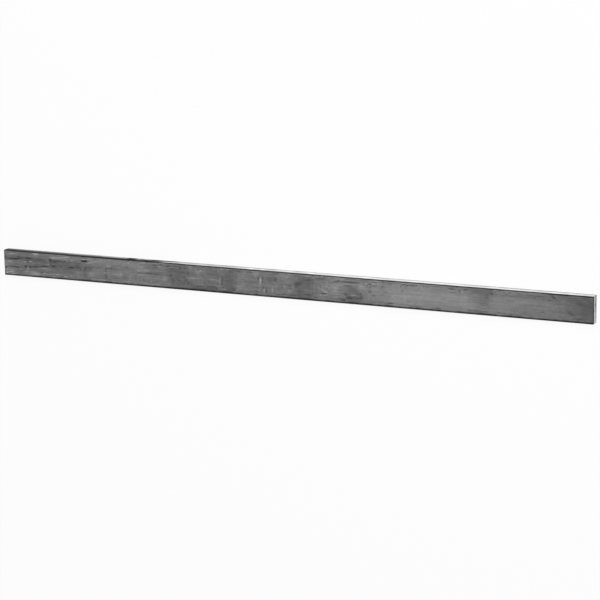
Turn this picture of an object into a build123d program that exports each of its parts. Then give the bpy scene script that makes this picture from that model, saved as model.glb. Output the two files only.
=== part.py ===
from build123d import *
import os

# Hot-rolled steel flat bar, one piece of stock cut to length.
# Frame: the bar lies on a broad face, +X along its length, +Y across its width, +Z up.
# The origin is on the face it rests on, at the middle of the length and width.
# All sizes are in millimetres.

# Driving dimensions
bar_length = 914.4  # cut length, 36 in
bar_width = 38.1  # section width over the bulged narrow edges, 1-1/2 in
bar_thickness = 12.7  # section thickness between the broad faces, 1/2 in
edge_bulge = 0.15  # how far the middle of each narrow edge stands proud of its shoulders
corner_radius = 0.5  # rolled corner between a broad face and a narrow edge
end_break = 0.4  # filed burr all round each saw-cut end


def rolled_section():
    """The section that the rolls leave, drawn in the plane of the left end."""
    side = bar_width / 2
    shoulder = side - edge_bulge
    with BuildSketch(Plane.YZ.offset(-bar_length / 2)) as section:
        with BuildLine():
            Line((-shoulder, 0), (shoulder, 0))
            ThreePointArc((shoulder, 0), (side, bar_thickness / 2), (shoulder, bar_thickness))
            Line((shoulder, bar_thickness), (-shoulder, bar_thickness))
            ThreePointArc((-shoulder, bar_thickness), (-side, bar_thickness / 2), (-shoulder, 0))
        make_face()
        fillet(section.vertices(), min(corner_radius, 0.45 * bar_thickness))
    return section.sketch


def flat_bar():
    """The section run along the length, cut square, with the burr filed off both ends."""
    with BuildPart() as bar:
        extrude(rolled_section(), amount=bar_length)
        faces_along = bar.faces().sort_by(Axis.X)
        chamfer(faces_along[0].edges() + faces_along[-1].edges(), end_break)
    return bar.part


os.makedirs("parts", exist_ok=True)
export_step(flat_bar(), "parts/flat_bar.step")
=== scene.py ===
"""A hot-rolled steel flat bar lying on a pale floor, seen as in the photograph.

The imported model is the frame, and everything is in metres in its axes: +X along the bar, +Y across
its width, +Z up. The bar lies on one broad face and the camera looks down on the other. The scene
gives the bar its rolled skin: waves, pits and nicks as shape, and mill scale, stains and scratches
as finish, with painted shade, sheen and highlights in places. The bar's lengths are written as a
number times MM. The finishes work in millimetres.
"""

import logging
import math
from dataclasses import dataclass, field, replace
from enum import Enum
from typing import Any, Mapping, Optional, Sequence, Tuple, Union

import bpy
import numpy as np
from mathutils import Matrix, Vector


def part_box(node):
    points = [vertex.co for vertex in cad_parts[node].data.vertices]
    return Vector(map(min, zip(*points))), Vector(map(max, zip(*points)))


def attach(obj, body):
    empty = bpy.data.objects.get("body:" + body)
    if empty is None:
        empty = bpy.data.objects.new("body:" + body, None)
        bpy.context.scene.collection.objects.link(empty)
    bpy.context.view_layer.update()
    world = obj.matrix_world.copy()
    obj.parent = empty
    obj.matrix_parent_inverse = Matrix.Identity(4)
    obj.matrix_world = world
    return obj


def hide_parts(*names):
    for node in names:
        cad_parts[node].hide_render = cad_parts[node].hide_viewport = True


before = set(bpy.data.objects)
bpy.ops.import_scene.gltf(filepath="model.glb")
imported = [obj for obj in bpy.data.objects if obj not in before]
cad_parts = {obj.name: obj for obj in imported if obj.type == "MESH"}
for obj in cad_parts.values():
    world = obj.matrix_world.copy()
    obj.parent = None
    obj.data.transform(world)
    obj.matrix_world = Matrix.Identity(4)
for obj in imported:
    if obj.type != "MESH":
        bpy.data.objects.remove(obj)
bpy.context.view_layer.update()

MM = 0.001
END_TILT = 0.3  # a face belongs to an end where its normal leans more than this along the bar
log = logging.getLogger("flat_bar")

Span = Tuple[float, float]  # where a smooth turn begins, and where it ends
Extent = Tuple[float, float, float]  # a size or a place along the three axes


@dataclass(frozen=True)
class Field:
    """A node's output, wrapped so that maths on it is written as a Python expression."""

    bench: "NodeBench"
    socket: bpy.types.NodeSocket

    def __add__(self, other: "Term") -> "Field":
        """Adds a field or a number."""
        return self.bench.math("ADD", self, other)

    def __sub__(self, other: "Term") -> "Field":
        """Takes a field or a number away."""
        return self.bench.math("SUBTRACT", self, other)

    def __rsub__(self, other: float) -> "Field":
        """Takes this field away from a number."""
        return self.bench.math("SUBTRACT", other, self)

    def __mul__(self, other: "Term") -> "Field":
        """Multiplies by a field or a number."""
        return self.bench.math("MULTIPLY", self, other)

    def __truediv__(self, other: "Term") -> "Field":
        """Divides by a field or a number."""
        return self.bench.math("DIVIDE", self, other)

    def __rpow__(self, other: float) -> "Field":
        """Raises a number to this field's power."""
        return self.bench.math("POWER", other, self)

    def __gt__(self, other: "Term") -> "Field":
        """Gives 1 where this is greater and 0 elsewhere."""
        return self.bench.math("GREATER_THAN", self, other)

    def __abs__(self) -> "Field":
        """Drops the sign."""
        return self.bench.math("ABSOLUTE", self)

    __radd__ = __add__
    __rmul__ = __mul__


Term = Union[Field, float, int]


class NodeBench:
    """Adds nodes to one tree, of a material, the world or a shape."""

    def __init__(self, tree: bpy.types.NodeTree) -> None:
        """Takes the tree that the nodes go into."""
        self.tree = tree

    def node(
        self,
        kind: str,
        settings: Optional[Mapping[str, Any]] = None,
        sockets: Optional[Mapping[str, Any]] = None,
    ) -> bpy.types.Node:
        """Adds a node.

        Args:
            kind: The node's type.
            settings: Its own settings by name, set before its sockets.
            sockets: A value, a field or a socket for each input, by the input's identifier.

        Returns:
            The new node.
        """
        made = self.tree.nodes.new(kind)
        for name, value in (settings or {}).items():
            setattr(made, name, value)
        for name, value in (sockets or {}).items():
            entry = next(s for s in made.inputs if s.identifier == name)
            if isinstance(value, Field):
                value = value.socket
            if isinstance(value, bpy.types.NodeSocket):
                self.tree.links.new(value, entry)
            else:
                entry.default_value = value
        return made

    def field(self, *args: Any, out: Union[int, str] = 0) -> Field:
        """Adds a node as node() does, and returns one of its outputs as a field.

        Args:
            *args: What node() takes.
            out: The output's place or name.

        Returns:
            That output.
        """
        return Field(self, self.node(*args).outputs[out])

    def math(self, operation: str, *terms: Term) -> Field:
        """Adds a Math node for one operation on its terms."""
        names = ("Value", "Value_001")
        return self.field("ShaderNodeMath", {"operation": operation}, dict(zip(names, terms)))

    def least(self, first: Term, second: Term) -> Field:
        """Gives the lower of two numbers."""
        return self.math("MINIMUM", first, second)

    def most(self, first: Term, second: Term) -> Field:
        """Gives the higher of two numbers."""
        return self.math("MAXIMUM", first, second)

    def held(self, value: Field, limit: Field) -> Field:
        """Holds a number between minus and plus a limit."""
        return self.most(self.least(value, limit), limit * -1)

    def vector(self, operation: str, *terms: Any) -> Field:
        """Adds a Vector Math node whose result is a vector."""
        names = ("Vector", "Vector_001", "Vector_002")
        return self.field("ShaderNodeVectorMath", {"operation": operation}, dict(zip(names, terms)))

    def length(self, vector: Field) -> Field:
        """Gives a vector's length."""
        return self.field("ShaderNodeVectorMath", {"operation": "LENGTH"}, {"Vector": vector}, out="Value")

    def split(self, vector: Field) -> Sequence[Field]:
        """Gives a vector's three numbers."""
        node = self.node("ShaderNodeSeparateXYZ", sockets={"Vector": vector})
        return [Field(self, out) for out in node.outputs]

    def join(self, x: Term, y: Term, z: Term) -> Field:
        """Makes a vector of three numbers."""
        return self.field("ShaderNodeCombineXYZ", None, {"X": x, "Y": y, "Z": z})

    def ramp(self, value: Field, start: float, end: float, low: float = 0.0, high: float = 1.0) -> Field:
        """Turns smoothly from one number to another.

        Args:
            value: What decides.
            start: Where the turn begins.
            end: Where it ends, which may be below start.
            low: The number before start.
            high: The number past end.

        Returns:
            The smooth step.
        """
        sockets = {"Value": value, "From Min": start, "From Max": end, "To Min": low, "To Max": high}
        return self.field("ShaderNodeMapRange", {"interpolation_type": "SMOOTHSTEP"}, sockets)

    def cloud(self, place: Field, size: Sequence[float], detail: float = 2.0, seed: float = 0.0) -> Field:
        """Adds soft noise about zero, mostly from -0.2 to 0.2.

        Args:
            place: The point that it is read at.
            size: How large its patches are along each axis, in the unit of place.
            detail: How many finer layers it has.
            seed: Which pattern it is.

        Returns:
            The noise.
        """
        scaled = self.vector("DIVIDE", place, tuple(size))
        sockets = {"Vector": scaled, "W": seed, "Scale": 1.0, "Detail": detail}
        return self.field("ShaderNodeTexNoise", {"noise_dimensions": "4D"}, sockets) - 0.5

    def stirred(self, place: Field, size: Sequence[float], reach: Sequence[float], seed: float) -> Field:
        """Moves points about at random, so that what is drawn on them gets uneven edges.

        Args:
            place: The points.
            size: How large the swirls are along each axis.
            reach: How far a point moves along each axis at most.
            seed: Which pattern it is.

        Returns:
            The moved points.
        """
        scaled = self.vector("DIVIDE", place, tuple(size))
        sockets = {"Vector": scaled, "W": seed, "Scale": 1.0, "Detail": 3.0}
        swirl = self.field("ShaderNodeTexNoise", {"noise_dimensions": "4D"}, sockets, out="Color")
        about_zero = self.vector("SUBTRACT", swirl, (0.5, 0.5, 0.5))
        return self.vector("MULTIPLY_ADD", about_zero, tuple(2 * r for r in reach), place)


def new_material(name: str) -> Tuple[bpy.types.Material, NodeBench]:
    """Makes an empty node material.

    Args:
        name: What it is called.

    Returns:
        The material, and the bench for its tree.
    """
    material = bpy.data.materials.new(name)
    material.use_nodes = True
    material.node_tree.nodes.clear()
    return material, NodeBench(material.node_tree)


def place_in_mm(bench: NodeBench) -> Field:
    """Gives the shaded point in the part's own axes, in millimetres."""
    place = bench.field("ShaderNodeTexCoord", out="Object")
    return bench.field("ShaderNodeVectorMath", {"operation": "SCALE"}, {"Vector": place, "Scale": 1 / MM})


def grey(reflectance: float) -> Tuple[float, float, float, float]:
    """Gives the neutral colour that reflects this share of the light."""
    return (reflectance, reflectance, reflectance, 1.0)


def numbers_of(
    items: bpy.types.bpy_prop_collection, name: str, width: int, kind: type = np.float32
) -> np.ndarray:
    """Reads a number or a vector of every item of a mesh.

    Args:
        items: The mesh's faces, loops or vertices.
        name: What is read of each.
        width: How many numbers that is.
        kind: The numbers' type.

    Returns:
        A flat array for one number, and a row for each item for more.
    """
    found = np.empty(len(items) * width, kind)
    items.foreach_get(name, found)
    return found if width == 1 else found.reshape(-1, width)


@dataclass(frozen=True)
class BarSizes:
    """The rolled bar's sizes, in metres, from the frame and from how such bar is rolled.

    Attributes:
        length: Its cut length.
        width: The section's width over the bulged narrow edges.
        thickness: The section's thickness between the broad faces.
        corner_radius: The radius of the four rolled corners.
        edge_bulge: How far a narrow edge's middle stands proud of its shoulders.
        end_break: How wide the burr was filed off all round an end.
    """

    length: float
    width: float
    thickness: float
    corner_radius: float = 0.5 * MM
    edge_bulge: float = 0.15 * MM
    end_break: float = 0.4 * MM

    @classmethod
    def from_frame(cls, node: str) -> "BarSizes":
        """Reads the three overall sizes from a node's box."""
        low, high = (Vector(corner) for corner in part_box(node))
        return cls(*(high - low))


class Side(Enum):
    """The two long sides that the camera sees, which are the ones whose marks are listed one by one."""

    TOP = "the broad face that the camera looks down on"
    BRIGHT_EDGE = "the narrow edge at +Y, bare steel along most of its length"


class Seed(float, Enum):
    """Which random pattern each part of the finishes reads."""

    STREAKS = 1.3
    GRAIN = 7.9
    RAGGED_BAND = 4.1
    WORN_PATCHES = 2.6
    GLINTS = 3.9
    BLOTCHES = 5.5
    MOTTLE = 8.8
    PALE_LINES = 9.2
    UNEVEN_RIMS = 3.7
    PITS = 6.3
    SAW_LINES = 1.1
    DULL_PATCHES = 8.2


@dataclass(frozen=True)
class Mark:
    """One stain, scratch or patch in the mill scale, or a broad patch that is partly painted sheen. Lengths
    are in millimetres.

    Attributes:
        along: Its middle along the bar.
        across: Its middle across the side that it lies on, from the side's middle line.
        length: Its size along the bar before it is turned.
        width: Its size across.
        stops: How much lighter it is than the scale round it. Each whole number doubles the light.
        turn: How far it is turned on its side, in degrees.
        side: The side that it lies on.
    """

    along: float
    across: float
    length: float
    width: float
    stops: float
    turn: float = 0.0
    side: Side = Side.TOP


@dataclass(frozen=True)
class MarkGroup:
    """Marks whose strength is set together.

    Attributes:
        marks: The marks.
        light: What the stops of its light marks are multiplied by.
        dark: What the stops of its dark marks are multiplied by.
    """

    marks: Sequence[Mark]
    light: float = 1.0
    dark: float = 1.0

    def weighted(self) -> Sequence[Mark]:
        """Gives the marks at the group's strength."""
        shares = [self.light if mark.stops > 0 else self.dark for mark in self.marks]
        return [replace(mark, stops=mark.stops * share) for mark, share in zip(self.marks, shares)]


# The long light and dark areas of the top face, which lie under all other marks: partly the scale's own
# uneven tone, partly painted sheen, a broad soft highlight along the right half and darker ends.
BROAD_TONES_AND_SHEEN = (
    Mark(-405, 0, 34, 16, -0.20),
    Mark(-353, 0, 50, 18, -0.50),
    Mark(-343, 11, 84, 12, 0.16),
    Mark(-266, 4, 70, 60, 0.20),
    Mark(-250, 5, 34, 26, 0.20),
    Mark(-216, 0, 30, 50, 0.10),
    Mark(-166, -1, 30, 60, -0.46),
    Mark(-140, -12, 56, 10, -0.26),
    Mark(-110, 0, 18, 40, -0.20),
    Mark(-80, 0, 20, 50, -0.56),
    Mark(-61, 0, 20, 40, 0.22),
    Mark(10, 0, 22, 40, 0.14),
    Mark(36, 0, 30, 60, -0.50),
    Mark(68, 0, 16, 40, 0.22),
    Mark(88, 4, 26, 30, 0.50),
    Mark(112, -6, 28, 24, -0.52),
    Mark(116, 9, 30, 12, 0.16),
    Mark(142, 0, 26, 40, 0.24),
    Mark(200, 0, 90, 60, 0.40),
    Mark(205, 1, 190, 26, 0.22),
    Mark(262, -1, 50, 50, 0.32),
    Mark(330, -1, 60, 40, 0.28),
    Mark(368, -2, 50, 40, 0.14),
    Mark(416, 8, 44, 22, -0.22),
    Mark(428, 0, 18, 60, -0.36),
    Mark(452, 0, 36, 60, -0.74),
)

# Smaller soft patches along the whole top face
SOFT_TONES = (
    Mark(-447, -11, 24, 11, 0.30),
    Mark(-449, 0, 18, 10, 0.20),
    Mark(-456, -3, 4, 30, 0.45),
    Mark(-440, 6.6, 28, 3, -0.40),
    Mark(-444, -5.4, 20, 2.4, -0.40),
    Mark(-415, 9, 44, 6, -0.22),
    Mark(-390, 3, 32, 12, -0.22),
    Mark(-425, 0.5, 15, 4, 0.42),
    Mark(-400, 4, 17, 6, 0.35),
    Mark(-385, -7.6, 110, 2.6, 0.30),
    Mark(-374, -13, 60, 5, 0.28),
    Mark(-357, -15, 22, 3, 0.25),
    Mark(-355, -3, 15, 6, 0.25),
    Mark(-325, 4, 20, 8, -0.25),
    Mark(-290, 14, 46, 5, 0.45),
    Mark(-310, 9.5, 11, 4, 0.35),
    Mark(-300, -5, 17, 14, 0.22),
    Mark(-268, 4, 60, 8, -0.28),
    Mark(-285, -13, 60, 4, -0.18),
    Mark(-272, 18.0, 76, 1.8, -1.80),
    Mark(-321, 18.0, 8, 1.6, -1.00),
    Mark(-215, 18.2, 14, 2.6, -1.60),
    Mark(-190, 17.9, 32, 2.2, 0.70),
    Mark(-240, 13, 22, 8, 0.24),
    Mark(-235, -2, 22, 4, 0.28),
    Mark(-222, 8, 26, 18, 0.26),
    Mark(-222, -3, 28, 8, 0.22),
    Mark(-190, 7, 60, 3, 0.18),
    Mark(-180, -5, 42, 10, 0.18),
    Mark(-170, -13, 58, 4, 0.34),
    Mark(-148, 4, 22, 18, -0.18),
    Mark(-85, 9, 22, 14, 0.28),
    Mark(-110, 0, 17, 4, 0.18),
    Mark(-78, -7, 17, 12, 0.28),
    Mark(-100, -15, 62, 4, -0.40),
    Mark(-110, -8, 32, 8, -0.18),
    Mark(-30, -15, 52, 3, -0.22),
    Mark(-9, -3, 14, 20, 0.18),
    Mark(5, 12, 16, 10, 0.32),
    Mark(40, 15.5, 26, 3, 0.34),
    Mark(38, -5, 24, 12, 0.24),
    Mark(94, 3, 11, 11, -0.30),
    Mark(92, -13, 18, 5, -0.28),
    Mark(125, 5, 22, 7, 0.52),
    Mark(112, -4, 18, 10, 0.40),
    Mark(124, -2, 8, 6, 0.34),
    Mark(145, 5, 15, 6, 0.28),
    Mark(174, -7, 54, 7, 0.28),
    Mark(275, 4, 16, 12, 0.17),
    Mark(285, -8, 24, 14, 0.26),
    Mark(325, 4.5, 22, 3, 0.24),
    Mark(325, -5, 28, 8, 0.17),
    Mark(325, 10, 32, 6, -0.17),
    Mark(355, -12, 42, 3, -0.17),
    Mark(400, 3, 26, 8, 0.28),
    Mark(430, 2, 32, 8, 0.20),
    Mark(415, -9, 13, 14, -0.22),
    Mark(400, 13, 60, 5, -0.17),
    Mark(-430, -9, 20, 3, 0.25),
    Mark(-417, -4.5, 6, 5, -0.40),
    Mark(-410, 1, 16, 3, 0.28),
    Mark(-395, 3, 10, 8, 0.25),
    Mark(-403, 10, 36, 3.4, -0.28),
    Mark(-410, 6, 24, 2.4, -0.22),
    Mark(-376, 4, 6, 6, -0.45),
    Mark(-366, -1, 14, 5, -0.25),
    Mark(-358, 13, 9, 4, 0.30),
    Mark(-341, 5, 28, 3, 0.28),
    Mark(-316, 13.5, 5, 3, -0.40),
    Mark(-306, 9, 14, 3.4, 0.32),
    Mark(-290, 13.5, 7, 6, 0.30),
    Mark(-254, 0, 40, 4, -0.26),
    Mark(-252, -7, 9, 8, -0.20),
    Mark(-206, 9, 18, 8, -0.15),
    Mark(-172, 15.5, 9, 4, 0.25),
    Mark(-142, 10, 5, 12, 0.22),
    Mark(-127, 9, 14, 4, 0.26),
    Mark(-95, 8, 12, 9, -0.20),
    Mark(-86, 15.5, 26, 3.4, 0.26),
    Mark(-75, 4, 8, 22, 0.16),
    Mark(-62, 14, 9, 7, -0.22),
    Mark(-50, -2, 26, 9, -0.12),
    Mark(-38, 12, 10, 10, 0.20),
    Mark(-12, 3, 11, 7, -0.24),
    Mark(-10, -8, 10, 5, -0.22),
    Mark(-3, -12, 9, 4, 0.28),
    Mark(49.5, 0, 4, 16, 0.22),
    Mark(62, 0, 14, 7, 0.24),
    Mark(72, 8, 5, 12, 0.20),
    Mark(92, 11, 16, 4, -0.24),
    Mark(92, -3, 18, 6, -0.20),
    Mark(118, 15.5, 9, 4, 0.36),
    Mark(124, 9, 8, 10, 0.26),
    Mark(122, 0, 10, 12, 0.18),
    Mark(184, 6, 20, 7, -0.15),
    Mark(240, 12, 22, 7, -0.14),
    Mark(240, -3, 22, 12, -0.12),
    Mark(285, 2, 18, 3, 0.20),
    Mark(310, 2, 6, 15, -0.15),
)

# Streaks, stains and scratches on the left quarter of the top face
LEFT_QUARTER = (
    Mark(-443, 14.1, 15, 1.7, 1.30, 5),
    Mark(-449, 13.5, 3, 1.8, 0.40),
    Mark(-443, 15.9, 13, 1.3, -0.60),
    Mark(-436, 6.9, 12, 2.6, -1.70, 4),
    Mark(-444, 6.3, 12, 1.9, -1.30),
    Mark(-454.5, 8.5, 3.5, 6.0, -0.70),
    Mark(-432.5, 10.4, 5, 2.0, -0.90),
    Mark(-427, 8.0, 9, 4.0, -0.60),
    Mark(-414.5, 8.9, 13, 2.0, -1.90),
    Mark(-416, 5.7, 13, 1.3, -1.30),
    Mark(-411.5, 4.3, 6, 1.7, 1.70),
    Mark(-420, 3.5, 6, 1.6, 0.90),
    Mark(-416, 2.4, 4, 1.6, -0.70),
    Mark(-401, 16.2, 10, 2.6, 1.30),
    Mark(-407, 16.6, 5, 1.6, 0.80),
    Mark(-401, 13.4, 14, 3.6, 0.30),
    Mark(-446.5, 3.0, 9, 3.0, 0.60),
    Mark(-452.8, -3.0, 3, 3.4, 0.80),
    Mark(-454, -6.7, 3.5, 3.6, -1.60),
    Mark(-438, -5.2, 28, 1.9, -1.10),
    Mark(-434, -5.9, 5, 2.2, -0.70),
    Mark(-419.5, -4.2, 4.5, 3.0, -2.20),
    Mark(-412.2, -4.4, 4.5, 3.0, -1.60),
    Mark(-403, -3.2, 18, 3.2, -0.90, 4),
    Mark(-388, -1.5, 14, 2.4, -2.40, 2),
    Mark(-375, -1.5, 14, 4.0, -0.70),
    Mark(-371, 0.2, 9, 3.0, -0.90, 8),
    Mark(-380.6, 2.2, 4, 2.2, 1.10),
    Mark(-385, 1.5, 6, 1.8, 0.40),
    Mark(-377, 8.6, 4.5, 5.0, -1.60),
    Mark(-370.5, 7.2, 9, 4.4, -1.00),
    Mark(-361, 7.8, 13, 2.4, -1.10),
    Mark(-352.2, 8.6, 3.5, 2.4, -1.70),
    Mark(-347, 6.4, 6, 1.4, -0.80, 5),
    Mark(-360, 5.2, 5, 2.0, 0.40),
    Mark(-369, 12.8, 15, 3.8, 0.80),
    Mark(-352, 14.6, 17, 2.0, 1.10, 4),
    Mark(-359, 17.0, 12, 1.4, 0.50, 8),
    Mark(-350.5, 11.2, 7, 3.0, 0.50),
    Mark(-393, 6.5, 24, 6.0, -0.45),
    Mark(-387, -4.3, 14, 1.8, 0.35),
    Mark(-428.5, -7.9, 6, 3.0, 0.30),
    Mark(-416.5, -7.0, 4, 4.5, 0.70),
    Mark(-418, -11.0, 5, 2.4, 0.40, 10),
    Mark(-430, -10.3, 16, 1.5, -0.50, 6),
    Mark(-452.3, -9.6, 3, 3.0, 0.70),
    Mark(-445, -9.6, 12, 3.0, 0.45),
    Mark(-452.6, -14.6, 2.8, 2.8, 1.40),
    Mark(-446, -13.2, 13, 1.8, 1.10, 7),
    Mark(-440, -15.3, 11, 1.4, 1.00, 4),
    Mark(-402, -14.2, 14, 2.6, 0.60),
    Mark(-404, -10.5, 14, 4.0, 0.25),
    Mark(-391.8, -10.8, 4.5, 2.4, -1.10),
    Mark(-382, -10.6, 5, 2.0, -0.40),
    Mark(-366, -12.4, 8, 2.0, 0.40, 12),
    Mark(-372, -13.4, 9, 1.6, -0.45, 5),
    Mark(-358, -13.6, 8, 1.8, -0.45, 3),
    Mark(-351, -14.2, 7, 2.4, 0.60),
    Mark(-372, -15.4, 9, 1.4, 0.60, 3),
    Mark(-405, -17.3, 12, 1.8, -1.00),
    Mark(-384, -17.0, 7, 2.2, -1.20),
    Mark(-361, -17.0, 16, 1.6, -0.80),
    Mark(-446, -17.2, 18, 2.0, 1.00),
    Mark(-452, -10, 4, 5, 0.35),
    Mark(-425, -17.0, 26, 1.6, 0.80),
    Mark(-392, -17.0, 40, 1.6, 0.70),
    Mark(-424, -17.3, 14, 2.0, 0.60),
    Mark(-318.5, 11.4, 9.5, 3.0, -3.00),
    Mark(-322, 11.0, 5, 2.0, -0.80),
    Mark(-318.5, 14.0, 14, 1.3, 1.30, 4),
    Mark(-309, 15.3, 9, 1.8, 0.90),
    Mark(-305, 12.5, 15, 5.0, 0.40),
    Mark(-340, 11.0, 6, 3.4, 0.45),
    Mark(-314, 8.7, 7, 2.0, 0.70),
    Mark(-342.5, 8.2, 6, 1.8, -0.90, 10),
    Mark(-335.5, 9.4, 5, 2.2, -0.60, -10),
    Mark(-325.5, 7.6, 3, 2.4, -0.70),
    Mark(-331, 5.0, 14, 7.0, -0.40),
    Mark(-341, 0.2, 9, 2.8, -1.80),
    Mark(-331, 0.0, 14, 4.0, -0.60),
    Mark(-318, -1.0, 6, 3.6, -1.10),
    Mark(-325.5, -2.0, 3, 2.4, -0.80),
    Mark(-317, 2.6, 5, 4.0, -0.60),
    Mark(-309, 1.5, 14, 5.0, -0.40),
    Mark(-330.5, -6.6, 10, 4.0, 0.45),
    Mark(-342, -12.0, 5, 3.0, 0.35),
    Mark(-331.5, -11.2, 6, 2.4, 0.30),
    Mark(-318, -9.5, 8, 8.0, -0.55),
    Mark(-307, -6.0, 10, 6.0, 0.50),
    Mark(-294, -14.2, 17, 2.4, 0.45),
    Mark(-285.6, -14.5, 3, 2.0, 0.60),
    Mark(-282.5, 3.0, 3, 4.0, -1.10),
    Mark(-283.5, -1.0, 3, 2.4, -0.80),
    Mark(-282.4, -8.4, 3.4, 8.0, -0.75),
    Mark(-284.5, -3.2, 2.4, 2.0, 0.50),
    Mark(-277.5, 7.4, 8, 3.6, 0.60),
    Mark(-273, 3.8, 2.4, 3.4, -1.10),
    Mark(-277, 3.4, 6, 2.8, -0.50),
    Mark(-264, 3.4, 14, 3.0, -0.30),
    Mark(-284, 13.2, 3.4, 2.4, 0.50),
    Mark(-277.5, 15.8, 8, 1.5, 0.35),
    Mark(-277, 13.8, 7, 1.2, -0.70),
    Mark(-264, 16.0, 14, 1.6, 0.15),
    Mark(-257.4, 15.6, 3, 2.0, 0.25),
    Mark(-244.2, 14.6, 3, 2.0, 0.80),
    Mark(-244.4, 16.6, 2.6, 1.6, -0.80),
    Mark(-240, 16.2, 5, 1.6, 0.80),
    Mark(-240, 14.6, 4, 1.3, -0.60),
    Mark(-247.5, 7.0, 6, 3.0, -0.30),
    Mark(-265.5, -1.6, 13, 1.6, 0.30),
    Mark(-265.5, -4.6, 13, 1.6, 0.40, 3),
    Mark(-265.5, -6.6, 13, 1.4, -0.40),
    Mark(-265.5, -10.2, 13, 1.5, -0.90, 3),
    Mark(-265.5, -12.3, 13, 1.8, 0.35),
    Mark(-258, -3.0, 3.4, 6.0, 0.30),
    Mark(-251, -9.0, 13, 8.0, -0.45),
    Mark(-242.6, -8.5, 2.4, 7.0, 0.35),
    Mark(-250, -13.6, 22, 1.3, 0.40, 3),
    Mark(-317, -16.8, 15, 2.6, -1.20),
    Mark(-310, -15.2, 3, 2.6, -0.90),
    Mark(-282, -16.7, 10, 2.4, -1.00),
    Mark(-275, -16.9, 5, 2.2, -0.90),
    Mark(-245, -17.2, 16, 1.6, -0.70),
    Mark(-321, 17.8, 6, 1.6, -1.20),
)

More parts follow.
